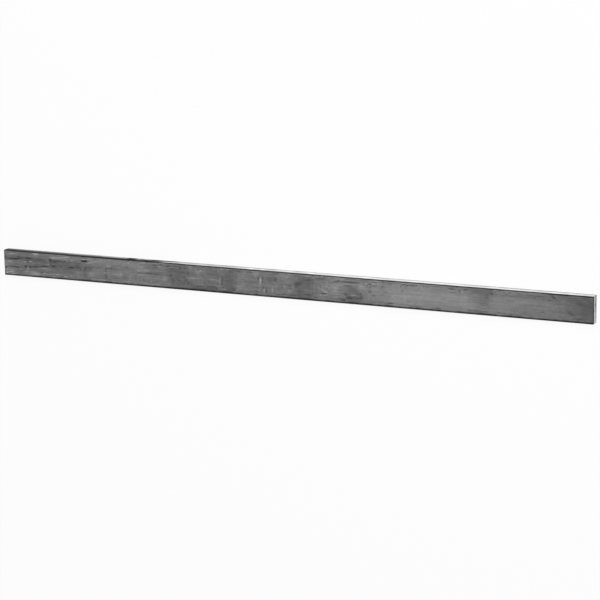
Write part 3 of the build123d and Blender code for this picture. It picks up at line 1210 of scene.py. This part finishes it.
        # Painted shadow in part: the narrow edges keep their darker scale along the floor, where the
        # contact shadow falls.
        clear_of_floor_shade = bench.ramp(through + patches * 6, *self.off_floor_shade_turn)
        return worn * clear_of_floor_shade * narrow

    def steel_tone_and_glints(self, bench: NodeBench, place: Field) -> Field:
        """Gives how much brighter the bare steel is: more towards the right end, with painted highlights
        here and there.

        Args:
            bench: The material's bench.
            place: The shaded point in millimetres.

        Returns:
            Its tone in stops, with painted highlights here and there.
        """
        along, _, _ = bench.split(place)
        # Painted highlights: bright flecks in the steel's colour.
        painted_glints = bench.cloud(place, (22, 6, 4), 2, Seed.GLINTS)
        return bench.ramp(along, -120, 60, 0.0, 0.35) + painted_glints * 1.6

    def streak_strength(self, bench: NodeBench, place: Field) -> Field:
        """Gives how strong the lengthwise streaks are: most at the left end, least at the right."""
        along, _, _ = bench.split(place)
        return bench.ramp(along, -400, -280, 1.6, 1.1) - bench.ramp(along, -100, 100, 0.0, 0.3)

    def corner_shade_depth(self, bench: NodeBench, place: Field) -> Field:
        """Gives how dark the corners' bands are, in stops: least at the left. They are partly painted
        shade.
        """
        along, _, _ = bench.split(place)
        return bench.ramp(along, *self.worn_turn, self.corner_shade_stops * 0.85, self.corner_shade_stops)

    def edge_depth(self, bench: NodeBench, place: Field) -> Field:
        """Gives how dark the scale left on the narrow edges is: most under the top face.

        Args:
            bench: The material's bench.
            place: The shaded point in millimetres.

        Returns:
            How much darker it is, in stops. It is below 0 near the floor, where it is lighter.
        """
        _, _, through = bench.split(place)
        top = self.sizes.thickness / MM
        start, end = self.edge_turn
        return bench.ramp(through, top - start, top - end, self.edge_stops, -self.edge_stops)

    def burr(self, bench: NodeBench, place: Field) -> Field:
        """Finds the dark line round the bar at its right end, on the rim where the burr was filed off. The
        line is painted shade along that arris.

        Args:
            bench: The material's bench.
            place: The shaded point in millimetres.

        Returns:
            1 on the line and 0 off it.
        """
        along, _, _ = bench.split(place)
        end = self.sizes.length / MM / 2
        start, full = self.rim_shade_turn
        # Painted shade: a dark line along the arris round the right end.
        return bench.ramp(along, end - start, end - full)

    def weather(self, bench: NodeBench, place: Field) -> Field:
        """Gives the scale's soft uneven tone.

        Args:
            bench: The material's bench.
            place: The shaded point in millimetres.

        Returns:
            How much lighter the scale is, in stops.
        """
        blotches = bench.cloud(place, (24, 9, 9), 2, Seed.BLOTCHES)
        mottle = bench.cloud(place, (7, 4, 4), 2, Seed.MOTTLE)
        lighter = bench.cloud(place, (70, 0.9, 0.9), 2, Seed.PALE_LINES)
        along, _, _ = bench.split(place)
        mottled = mottle * bench.ramp(along, 60, 160, 0.9, 0.4)
        return blotches * 0.8 + mottled + bench.ramp(lighter, 0.12, 0.3, 0.0, 0.25)

    def marks(self, bench: NodeBench, place: Field) -> Field:
        """Adds up the listed marks.

        A renderer that works on every mark at once needs more room than its shader stack has. So the
        marks come in batches, and each batch is drawn on points that the ones before it shift a
        little, as a scratch wavers where it crosses an older one.

        Args:
            bench: The material's bench.
            place: The shaded point in millimetres.

        Returns:
            How much lighter they make the scale, in stops.
        """
        total = self.spots(bench, place, BROAD_TONES_AND_SHEEN)
        uneven = bench.stirred(place, size=(10, 4, 4), reach=(1.6, 0.7, 0.7), seed=Seed.UNEVEN_RIMS)
        marks = [mark for group in MARK_GROUPS for mark in group.weighted()]
        for start in range(0, len(marks), self.batch):
            shifted = bench.vector("ADD", uneven, bench.join(0.0, total * self.waver, 0.0))
            total = self.spots(bench, shifted, marks[start : start + self.batch]) + total
        return total

    def spots(self, bench: NodeBench, place: Field, batch: Sequence[Mark]) -> Field:
        """Adds up a batch of marks in a node group of its own, which is quicker to build.

        Args:
            bench: The material's bench.
            place: The point that they are drawn at, in millimetres.
            batch: The marks.

        Returns:
            Their sum in stops.
        """
        tree = bpy.data.node_groups.new("marks", "ShaderNodeTree")
        entry = tree.interface.new_socket(name="Place", in_out="INPUT", socket_type="NodeSocketVector")
        result = tree.interface.new_socket(name="Stops", in_out="OUTPUT", socket_type="NodeSocketFloat")
        inside = NodeBench(tree)
        point = inside.field("NodeGroupInput")
        total = 0.0
        for mark in batch:
            total = self.spot(inside, point, mark) + total
        inside.node("NodeGroupOutput", None, {result.identifier: total})
        return bench.field("ShaderNodeGroup", {"node_tree": tree}, {entry.identifier: place})

    def spot(self, bench: NodeBench, place: Field, mark: Mark) -> Field:
        """Draws one mark: a soft ellipse on its side of the bar.

        Args:
            bench: The group's bench.
            place: The point that it is drawn at, in millimetres.
            mark: The mark.

        Returns:
            Its tone in stops, and 0 outside it.
        """
        half_thick = self.sizes.thickness / MM / 2
        if mark.side is Side.BRIGHT_EDGE:
            middle = (mark.along, self.sizes.width / MM / 2, half_thick + mark.across)
            reach = (mark.length / 2, self.mark_reach, mark.width / 2)
            turn = (0.0, -math.radians(mark.turn), 0.0)
        else:
            middle = (mark.along, mark.across, 2 * half_thick)
            reach = (mark.length / 2, mark.width / 2, self.mark_reach)
            turn = (0.0, 0.0, math.radians(mark.turn))
        sockets = {"Vector": place, "Location": middle, "Rotation": turn, "Scale": reach}
        local = bench.field("ShaderNodeMapping", {"vector_type": "TEXTURE"}, sockets)
        return bench.ramp(bench.length(local), *self.mark_edge, 0.0, mark.stops)

    def pits(self, bench: NodeBench, place: Field) -> Field:
        """Gives the height of the small pits that rolled-in scale leaves, in millimetres."""
        pitted = bench.cloud(place, (2.4, 1.6, 1.6), 1, Seed.PITS)
        return bench.ramp(pitted, 0.16, 0.3, 0.0, -0.06)


@dataclass(frozen=True)
class SawnFace:
    """The finish of the sawn ends: steel with the saw's fine lines, in three bands.

    The band along the top is dark, painted shade along the top arris. The one under it is bright, and the
    one along the floor is duller steel and partly painted contact shadow.
    Lengths are in millimetres and tones in stops.

    Attributes:
        sizes: The bar's sizes.
        reflectance: The share of the light that the bright band reflects.
        gloss: The specular level.
        roughness: The roughness of the bands, before patches of duller steel change it.
        dull_and_shadow_turn: How high above the floor the duller band of partly painted shadow begins, and
            where it is full.
        dull_and_shadow_fade: Where across the end that band turns from faint to full.
        dull_and_shadow_stops: How dark it is.
        top_shade_turn: How far below the top the dark band of painted shade begins, and where it is full.
        top_shade_stops: How dark it is.
    """

    sizes: BarSizes
    reflectance: float = 0.74
    gloss: float = 0.25
    roughness: float = 0.5
    dull_and_shadow_turn: Span = (6.4, 3.8)
    dull_and_shadow_fade: Span = (-17, 8)
    dull_and_shadow_stops: float = 2.6
    top_shade_turn: Span = (4.2, 2.8)
    top_shade_stops: float = 4.1

    def build(self) -> bpy.types.Material:
        """Makes the material.

        Returns:
            The finish of the ends.
        """
        material, bench = new_material("sawn_steel")
        place = place_in_mm(bench)
        _, across, through = bench.split(place)
        lines = bench.cloud(bench.join(0, across / 30, through), (1, 1, 0.35), 3, Seed.SAW_LINES)
        patches = bench.cloud(place, (6, 6, 4), 2, Seed.DULL_PATCHES)
        faint = bench.ramp(across, *self.dull_and_shadow_fade, 0.3, 1.0)
        # Painted shadow in part: the duller band along the floor also stands for its contact shadow.
        dull_and_shadow = bench.ramp(through + patches * 5, *self.dull_and_shadow_turn) * faint
        top = self.sizes.thickness / MM
        start, full = self.top_shade_turn
        # Painted shade: the dark band along the top stands for the shade of the end's top arris.
        dark = bench.ramp(through + patches * 4, top - start, top - full)
        stops = lines * 1.6 + patches * 1.4 - dull_and_shadow * self.dull_and_shadow_stops - dark * self.top_shade_stops
        surface = bench.field(
            "ShaderNodeBsdfPrincipled",
            None,
            {
                "Base Color": self.reflectance * 2 ** stops,
                "Roughness": self.roughness + patches * 0.3,
                "Metallic": 0.8 - dull_and_shadow * 0.6 - dark * 0.8,
                "Specular IOR Level": self.gloss,
                "Normal": bench.field("ShaderNodeBump", None, {"Distance": MM, "Height": lines * 0.04}),
            },
        )
        bench.node("ShaderNodeOutputMaterial", None, {"Surface": surface})
        return material


@dataclass
class RolledShape:
    """The bar's mesh, wrapped round the rolled section by geometry nodes.

    Attributes:
        sizes: The bar's sizes.
        corner_facets: How many points round each corner of the section.
        facet_width: How wide the other faces are, round the section.
        stations: How many rows of points stand along the bar.
        end_rings: How many rings of points lie on each end.
        merge_distance: How near points are that are merged.
        wave_size: The size of the rolled faces' slow waves along each axis.
        wave_depth: Their greatest depth.
        pit_size: The size of the pits.
        pit_depth: Their greatest depth.
        nick_size: The size of the nicks in the corners.
        nick_depth: Their greatest depth.
        saw_pitch: How far the saw lines on the ends are apart.
        saw_depth: Their greatest depth.
        wear_seed: Which random waves, pits, nicks and lines it has.
    """

    sizes: BarSizes
    corner_facets: int = 5
    facet_width: float = 1.3 * MM
    stations: int = 700
    end_rings: int = 28
    merge_distance: float = 0.02 * MM
    wave_size: Extent = (70 * MM, 30 * MM, 30 * MM)
    wave_depth: float = 0.05 * MM
    pit_size: Extent = (4 * MM, 3 * MM, 3 * MM)
    pit_depth: float = 0.07 * MM
    nick_size: Extent = (7 * MM, 4 * MM, 4 * MM)
    nick_depth: float = 0.28 * MM
    saw_pitch: float = 1.0 * MM
    saw_depth: float = 0.04 * MM
    wear_seed: float = 3.0

    def __post_init__(self) -> None:
        """Makes the empty tree."""
        self.tree = bpy.data.node_groups.new("rolled_shape", "GeometryNodeTree")
        self.bench = NodeBench(self.tree)
        self.inputs = {}

    def declare(self, kind: str, values: Mapping[str, Any]) -> None:
        """Adds named inputs of one kind to the tree.

        Args:
            kind: Their type: Float, Int or Material.
            values: What the modifier sets each input to, by its name.
        """
        kind = f"NodeSocket{kind}"
        for name, value in values.items():
            made = self.tree.interface.new_socket(name=name, in_out="INPUT", socket_type=kind)
            self.inputs[made.identifier] = value

    def section(self, given: Mapping[str, Field]) -> Field:
        """Draws the rolled section, with points at about the spacing asked for.

        Args:
            given: The tree's inputs by name.

        Returns:
            A closed curve in a plane, its X across the bar and its Y through its thickness.
        """
        bench = self.bench
        outline = bench.field(
            "GeometryNodeCurvePrimitiveQuadrilateral",
            {"mode": "RECTANGLE"},
            {"Width": given["Width"] - given["Edge Bulge"] * 2, "Height": given["Thickness"]},
        )
        rounded = bench.field(
            "GeometryNodeFilletCurve",
            {"mode": "POLY"},
            {"Curve": outline, "Count": given["Corner Facets"], "Radius": given["Corner Radius"]},
        )
        here = bench.field("GeometryNodeInputPosition")
        following = bench.field("GeometryNodeOffsetPointInCurve", None, {"Offset": 1}, out="Point Index")
        vector_kind = {"data_type": "FLOAT_VECTOR", "domain": "POINT"}
        there = bench.field("GeometryNodeFieldAtIndex", vector_kind, {"Value": here, "Index": following})
        run = bench.length(bench.vector("SUBTRACT", there, here))
        cuts = bench.math("FLOOR", run / given["Facet Width"])
        divided = bench.field("GeometryNodeSubdivideCurve", None, {"Curve": rounded, "Cuts": cuts})
        across, through, _ = bench.split(here)
        height = through / (given["Thickness"] * 0.5)
        bulge = given["Edge Bulge"] * (1 - height * height) * bench.math("SIGN", across)
        bulged = bench.join(across + bulge, through, 0.0)
        return bench.field("GeometryNodeSetPosition", None, {"Geometry": divided, "Position": bulged})

    def wrapped(self, given: Mapping[str, Field], section: Field) -> Field:
        """Wraps a grid round the section, and turns its first and last rows in to close the ends.

        Args:
            given: The tree's inputs by name.
            section: The section's curve.

        Returns:
            The closed mesh.
        """
        bench = self.bench
        curve_kind = {"component": "CURVE"}
        girth = bench.field(
            "GeometryNodeAttributeDomainSize", curve_kind, {"Geometry": section}, out="Point Count"
        )
        rings = given["End Rings"]
        rows = given["Stations"] + rings * 2 + 2
        grid = bench.field("GeometryNodeMeshGrid", None, {"Vertices X": rows, "Vertices Y": girth + 1})
        index = bench.field("GeometryNodeInputIndex")
        row = bench.math("FLOOR", (index + 0.5) / (girth + 1))
        column = bench.math("MODULO", index - row * (girth + 1), girth)
        point = bench.field(
            "GeometryNodeSampleIndex",
            {"data_type": "FLOAT_VECTOR", "domain": "POINT"},
            {"Geometry": section, "Value": bench.field("GeometryNodeInputPosition"), "Index": column},
        )
        from_end = bench.least(row, rows - 1 - row)
        on_side = from_end > rings + 0.5
        half_length = given["Length"] * 0.5
        half_width = given["Width"] * 0.5
        half_thick = given["Thickness"] * 0.5
        radius = given["Corner Radius"]
        end_break = given["End Break"]
        inward = 1 - from_end / rings
        low_inset = (end_break + (half_thick - end_break) * inward) * (1 - on_side)
        side_inset = (end_break + (radius - end_break) * inward) * (1 - on_side)
        across, through, _ = bench.split(point)
        core_across = bench.held(across, half_width - radius)
        core_through = bench.held(through, half_thick - radius)
        normal = bench.vector("NORMALIZE", bench.join(0.0, across - core_across, through - core_through))
        _, normal_across, normal_through = bench.split(normal)
        shaved = end_break * (1 - on_side)
        across = bench.held(across - normal_across * shaved, half_width - side_inset)
        through = bench.held(through - normal_through * shaved, half_thick - low_inset)
        side_of = bench.math("SIGN", row - rows * 0.5 + 0.25)
        step = (row - rings - 1) / (given["Stations"] - 1)
        on_sides = (half_length - end_break) * (step * 2 - 1) * on_side
        along = on_sides + side_of * half_length * (1 - on_side)
        smooth_place = bench.join(along, across, through + half_thick)
        depth = self.wear(given, smooth_place) * on_side
        scaling = {"Vector": normal, "Scale": depth}
        worn = bench.field("ShaderNodeVectorMath", {"operation": "SCALE"}, scaling)
        cut = self.saw_lines(given, smooth_place, inward) * side_of * (1 - on_side)
        moved = bench.vector("SUBTRACT", smooth_place, bench.vector("ADD", worn, bench.join(cut, 0.0, 0.0)))
        placed = bench.field("GeometryNodeSetPosition", None, {"Geometry": grid, "Position": moved})
        merging = {"Geometry": placed, "Distance": self.merge_distance}
        merged = bench.field("GeometryNodeMergeByDistance", None, merging)
        return bench.field("GeometryNodeFlipFaces", None, {"Mesh": merged})

    def wear(self, given: Mapping[str, Field], place: Field) -> Field:
        """Says how deep the rolled surface lies under its full section.

        Args:
            given: The tree's inputs by name.
            place: The point on the full section, in metres.

        Returns:
            The depth in metres, never below 0.
        """
        bench = self.bench
        seed = given["Wear Seed"]
        along, across, through = bench.split(place)
        half_length = given["Length"] * 0.5
        radius = given["Corner Radius"]
        half_thick = given["Thickness"] * 0.5
        wave = bench.ramp(bench.cloud(place, self.wave_size, 2, seed), -0.15, 0.15)
        pit = bench.ramp(bench.cloud(place, self.pit_size, 1, seed + 1), 0.14, 0.3)
        past_width = abs(across) - (given["Width"] * 0.5 - radius)
        past_thick = abs(through - half_thick) - (half_thick - radius)
        corner = bench.ramp(bench.least(past_width, past_thick) / radius, 0.0, 0.4)
        nick = bench.ramp(bench.cloud(place, self.nick_size, 2, seed + 2), 0.08, 0.26)
        clear_of_end = bench.ramp(half_length - abs(along), 1 * MM, 4 * MM)
        dents = (pit * given["Pit Depth"] + nick * corner * given["Nick Depth"]) * clear_of_end
        return wave * given["Wave Depth"] + dents

    def saw_lines(self, given: Mapping[str, Field], place: Field, inward: Field) -> Field:
        """Says how deep the saw's lines are cut into the ends.

        Args:
            given: The tree's inputs by name.
            place: The point on the flat end, in metres.
            inward: 0 at the end's rim and 1 on its middle line.

        Returns:
            The depth in metres, never below 0.
        """
        bench = self.bench
        _, across, through = bench.split(place)
        drift = bench.cloud(place, (20 * MM, 20 * MM, 6 * MM), 1, given["Wear Seed"] + 5)
        turns = (through + across * 0.05 + drift * 2 * MM) / given["Saw Pitch"]
        ridge = bench.math("SINE", turns * math.tau) * 0.5 + 0.5
        from_edge = given["Width"] * 0.5 - abs(across)
        clear_of_rim = bench.ramp(inward, 0.02, 0.12) * bench.ramp(from_edge, 1.4 * MM, 2.4 * MM)
        return ridge * clear_of_rim * given["Saw Depth"]

    def build(self, side: bpy.types.Material, end: bpy.types.Material) -> bpy.types.Object:
        """Makes the bar's object.

        Args:
            side: The finish of the rolled faces.
            end: The finish of the sawn ends.

        Returns:
            A plain mesh object at the origin.
        """
        self.declare_all(side, end)
        bench = self.bench
        entry = bench.node("NodeGroupInput")
        given = {out.name: Field(bench, out) for out in entry.outputs if out.name}
        closed = self.wrapped(given, self.section(given))
        normal_along, _, _ = bench.split(bench.field("GeometryNodeInputNormal"))
        is_end = abs(normal_along) > END_TILT
        shading = {"Geometry": closed, "Shade Smooth": 1 - is_end}
        smooth = bench.field("GeometryNodeSetShadeSmooth", {"domain": "FACE"}, shading)
        whole = bench.field("GeometryNodeRealizeInstances", None, {"Geometry": smooth})
        side_sockets = {"Geometry": whole, "Material": given["Side Finish"]}
        sided = bench.field("GeometryNodeSetMaterial", None, side_sockets)
        end_sockets = {"Geometry": sided, "Selection": is_end, "Material": given["End Finish"]}
        ended = bench.field("GeometryNodeSetMaterial", None, end_sockets)
        result = self.tree.interface.new_socket(
            name="Geometry", in_out="OUTPUT", socket_type="NodeSocketGeometry"
        )
        bench.node("NodeGroupOutput", None, {result.identifier: ended})
        return self.applied("rolled_bar")

    def declare_all(self, side: bpy.types.Material, end: bpy.types.Material) -> None:
        """Adds the tree's inputs: the sizes, how finely the mesh is cut, the wear and the finishes.

        Args:
            side: The finish of the rolled faces.
            end: The finish of the sawn ends.
        """
        sizes = self.sizes
        self.declare(
            "Float",
            {
                "Length": sizes.length,
                "Width": sizes.width,
                "Thickness": sizes.thickness,
                "Corner Radius": sizes.corner_radius,
                "Edge Bulge": sizes.edge_bulge,
                "End Break": sizes.end_break,
                "Facet Width": self.facet_width,
                "Wave Depth": self.wave_depth,
                "Pit Depth": self.pit_depth,
                "Nick Depth": self.nick_depth,
                "Saw Pitch": self.saw_pitch,
                "Saw Depth": self.saw_depth,
                "Wear Seed": self.wear_seed,
            },
        )
        self.declare(
            "Int",
            {
                "Corner Facets": self.corner_facets,
                "Stations": self.stations,
                "End Rings": self.end_rings,
            },
        )
        self.declare("Material", {"Side Finish": side, "End Finish": end})

    def applied(self, name: str) -> bpy.types.Object:
        """Runs the tree once and keeps its result as a plain mesh.

        Args:
            name: What the object and its mesh are called.

        Returns:
            The object, with no modifier left on it.
        """
        piece = bpy.data.objects.new(name, bpy.data.meshes.new(name))
        bpy.context.scene.collection.objects.link(piece)
        modifier = piece.modifiers.new("rolled_shape", "NODES")
        modifier.node_group = self.tree
        for identifier, value in self.inputs.items():
            modifier[identifier] = value
        evaluated = piece.evaluated_get(bpy.context.evaluated_depsgraph_get())
        mesh = bpy.data.meshes.new_from_object(evaluated)
        piece.modifiers.clear()
        piece.data = mesh
        mesh.name = name
        self.drop_empty_slot(mesh)
        return piece

    def drop_empty_slot(self, mesh: bpy.types.Mesh) -> None:
        """Removes the empty material slot that the tree's mesh starts with.

        Args:
            mesh: The bar's mesh.
        """
        if mesh.materials[0] is None:
            slots = numbers_of(mesh.polygons, "material_index", 1, np.int32)
            mesh.materials.pop(index=0)
            mesh.polygons.foreach_set("material_index", slots - 1)


@dataclass(frozen=True)
class BakeLayout:
    """The flat layout that the bar's finish is baked through.

    The sides are cut into three lengths. Each length is four strips, one above the other, and the
    two ends stand in a column beside them, so that the layout is about as wide as it is high.

    Attributes:
        sizes: The bar's sizes.
        lengths: How many lengths the sides are cut into.
        gap: How far the strips lie apart.
    """

    sizes: BarSizes
    lengths: int = 3
    gap: float = 1.2 * MM

    def lay(self, mesh: bpy.types.Mesh) -> None:
        """Gives a mesh the layout.

        Args:
            mesh: The bar's mesh.
        """
        sizes = self.sizes
        normal = numbers_of(mesh.polygons, "normal", 3)
        middle = numbers_of(mesh.polygons, "center", 3)
        corners = numbers_of(mesh.polygons, "loop_total", 1, np.int32)
        vertex = numbers_of(mesh.loops, "vertex_index", 1, np.int32)
        place = numbers_of(mesh.vertices, "co", 3)[vertex]
        face = np.repeat(np.arange(len(mesh.polygons)), corners)

        is_end = np.abs(normal[:, 0]) > END_TILT
        is_broad = np.abs(normal[:, 2]) > np.abs(normal[:, 1])
        positive = np.where(is_end, normal[:, 0], np.where(is_broad, normal[:, 2], normal[:, 1])) > 0
        run = (sizes.length - 2 * sizes.end_break) / self.lengths
        part = np.clip((middle[:, 0] / run + self.lengths / 2).astype(int), 0, self.lengths - 1)
        band = sizes.width + sizes.thickness + 2 * self.gap
        strip = np.where(is_broad, 0.0, sizes.width + self.gap) + np.where(positive, 0.0, band)
        row_low = part * 2 * band + strip
        end_low = np.where(positive, 0.0, sizes.width + self.gap)
        run_start = (part - self.lengths / 2) * run

        side_u = place[:, 0] - run_start[face]
        side_across = np.where(is_broad[face], place[:, 1] + sizes.width / 2, place[:, 2])
        side_v = side_across + row_low[face]
        end_u = place[:, 2] + run + self.gap
        end_v = place[:, 1] + sizes.width / 2 + end_low[face]
        u = np.where(is_end[face], end_u, side_u) + self.gap
        v = np.where(is_end[face], end_v, side_v) + self.gap
        span = max(run + sizes.thickness + 3 * self.gap, 2 * band * self.lengths + self.gap)
        layer = mesh.uv_layers.new(name="OFBake")
        layer.uv.foreach_set("vector", (np.stack([u, v], 1) / span).astype(np.float32).ravel())


@dataclass(frozen=True)
class FlatBar:
    """The whole bar, one piece of stock."""

    sizes: BarSizes = field(default_factory=lambda: BarSizes.from_frame("flat_bar"))

    def build(self) -> bpy.types.Object:
        """Makes and dresses the bar, and puts it in the place of the CAD's.

        Returns:
            The bar.
        """
        skin = RolledSkin(self.sizes).build()
        ends = SawnFace(self.sizes).build()
        piece = RolledShape(self.sizes).build(skin, ends)
        BakeLayout(self.sizes).lay(piece.data)
        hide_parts("flat_bar")
        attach(piece, "root")
        mesh = piece.data
        log.info("%s: %d vertices, %d faces", piece.name, len(mesh.vertices), len(mesh.polygons))
        return piece


@dataclass(frozen=True)
class PhotoCamera:
    """Where the photograph was taken from, as it looks at the lying bar.

    The camera stands off the middle of the top face's edge at -Y, along a line that leans towards
    the right end and towards the bright narrow edge.

    Attributes:
        sizes: The bar's sizes.
        to_right_end: How far that line leans towards the right end, in radians.
        to_bright_edge: How far it leans towards the bright edge, in radians.
        roll: How far the camera is turned about the line, in radians.
        distance: How far off it stands.
        aside: How far it is moved to its own right.
        above: How far it is moved up, as it sees it.
        focal_length: The lens, in millimetres.
        sensor_width: The picture's width behind the lens, in millimetres.
    """

    sizes: BarSizes
    to_right_end: float = math.radians(26.11)
    to_bright_edge: float = math.radians(12.57)
    roll: float = math.radians(-1.22)
    distance: float = 3145 * MM
    aside: float = 26.9 * MM
    above: float = -2.4 * MM
    focal_length: float = 134.97
    sensor_width: float = 36.0

    def build(self) -> bpy.types.Object:
        """Makes the camera and gives it to the scene.

        Returns:
            The camera.
        """
        swing, rise = self.to_right_end, self.to_bright_edge
        right = Vector((math.cos(swing), 0, -math.sin(swing)))
        back = Vector((math.sin(swing) * math.cos(rise), math.sin(rise), math.cos(swing) * math.cos(rise)))
        right = Matrix.Rotation(self.roll, 3, back) @ right
        up = back.cross(right)
        foot = Vector((0, -self.sizes.width / 2, self.sizes.thickness))
        data = bpy.data.cameras.new("photo_camera")
        data.lens = self.focal_length
        data.sensor_width = self.sensor_width
        camera = bpy.data.objects.new("photo_camera", data)
        camera.matrix_world = Matrix((right, up, back)).transposed().to_4x4()
        camera.location = foot + back * self.distance + right * self.aside + up * self.above
        bpy.context.scene.collection.objects.link(camera)
        bpy.context.scene.camera = camera
        return camera


@dataclass(frozen=True)
class Studio:
    """The pale floor and the soft light over it.

    Attributes:
        floor_side: The floor's length and width, in metres.
        floor_reflectance: The share of the light that its paint reflects.
        floor_glow: How much of its look to the camera is plain white, from 0 to 1.
        sky_strength: How strongly the surroundings light the bar. 1 is white.
        key_power: The lamp's power, in watts.
        key_side: The lamp's length and width, in metres.
        key_place: Where the lamp hangs, in metres.
    """

    floor_side: float = 12.0
    floor_reflectance: float = 0.9
    floor_glow: float = 0.9
    sky_strength: float = 0.55
    key_power: float = 31.0
    key_side: float = 1.6
    key_place: Extent = (0.6, 1.2, 2.0)

    def build(self) -> None:
        """Lays the floor and sets the light and the plain view."""
        self.build_floor()
        self.light_sky()
        self.hang_softbox()
        bpy.context.scene.view_settings.view_transform = "Standard"

    def build_floor(self) -> bpy.types.Object:
        """Lays the floor that the bar rests on.

        Returns:
            The floor.
        """
        half = self.floor_side / 2
        corners = [(-half, -half, 0), (half, -half, 0), (half, half, 0), (-half, half, 0)]
        mesh = bpy.data.meshes.new("floor")
        mesh.from_pydata(corners, [], [(0, 1, 2, 3)])
        mesh.materials.append(self.floor_finish())
        floor = bpy.data.objects.new("floor", mesh)
        bpy.context.scene.collection.objects.link(floor)
        log.info("%s: %g m square", floor.name, self.floor_side)
        return floor

    def floor_finish(self) -> bpy.types.Material:
        """Makes a pale floor that shows as white and keeps the bar's shadow.

        Returns:
            The floor's finish.
        """
        material, bench = new_material("pale_floor")
        paint = bench.field("ShaderNodeBsdfDiffuse", None, {"Color": grey(self.floor_reflectance)})
        white = bench.field("ShaderNodeEmission", None, {"Color": grey(1.0), "Strength": 1.0})
        sockets = {"Fac": self.seen(bench) * self.floor_glow, "Shader": paint, "Shader_001": white}
        mixed = bench.field("ShaderNodeMixShader", None, sockets)
        bench.node("ShaderNodeOutputMaterial", None, {"Surface": mixed})
        return material

    def seen(self, bench: NodeBench) -> Field:
        """Tells rays from the camera, off gloss and through glass from the others.

        Args:
            bench: The bench of a material or the world.

        Returns:
            1 for those rays and 0 for the others.
        """
        path = bench.node("ShaderNodeLightPath")
        kinds = ("Is Camera Ray", "Is Glossy Ray", "Is Transmission Ray")
        camera, gloss, through = (Field(bench, path.outputs[name]) for name in kinds)
        return bench.most(bench.most(camera, gloss), through)

    def light_sky(self) -> None:
        """Makes the surroundings, which show as white and light the bar softly."""
        world = bpy.data.worlds.new("studio")
        bpy.context.scene.world = world
        world.use_nodes = True
        world.node_tree.nodes.clear()
        bench = NodeBench(world.node_tree)
        strength = self.seen(bench) * (1 - self.sky_strength) + self.sky_strength
        sky = bench.field("ShaderNodeBackground", None, {"Color": grey(1.0), "Strength": strength})
        bench.node("ShaderNodeOutputWorld", None, {"Surface": sky})

    def hang_softbox(self) -> None:
        """Hangs the large square lamp over the bar, on the side of its bright edge."""
        lamp = bpy.data.lights.new("softbox", "AREA")
        lamp.shape = "SQUARE"
        lamp.size = self.key_side
        lamp.energy = self.key_power
        box = bpy.data.objects.new("softbox", lamp)
        place = Vector(self.key_place)
        box.location = place
        box.rotation_mode = "QUATERNION"
        box.rotation_quaternion = place.to_track_quat("Z", "Y")
        bpy.context.scene.collection.objects.link(box)


def main() -> None:
    """Builds the bar, the studio and the camera."""
    logging.basicConfig(level=logging.INFO, format="%(name)s: %(message)s")
    bar = FlatBar()
    bar.build()
    Studio().build()
    PhotoCamera(bar.sizes).build()


if __name__ == "__main__":
    main()
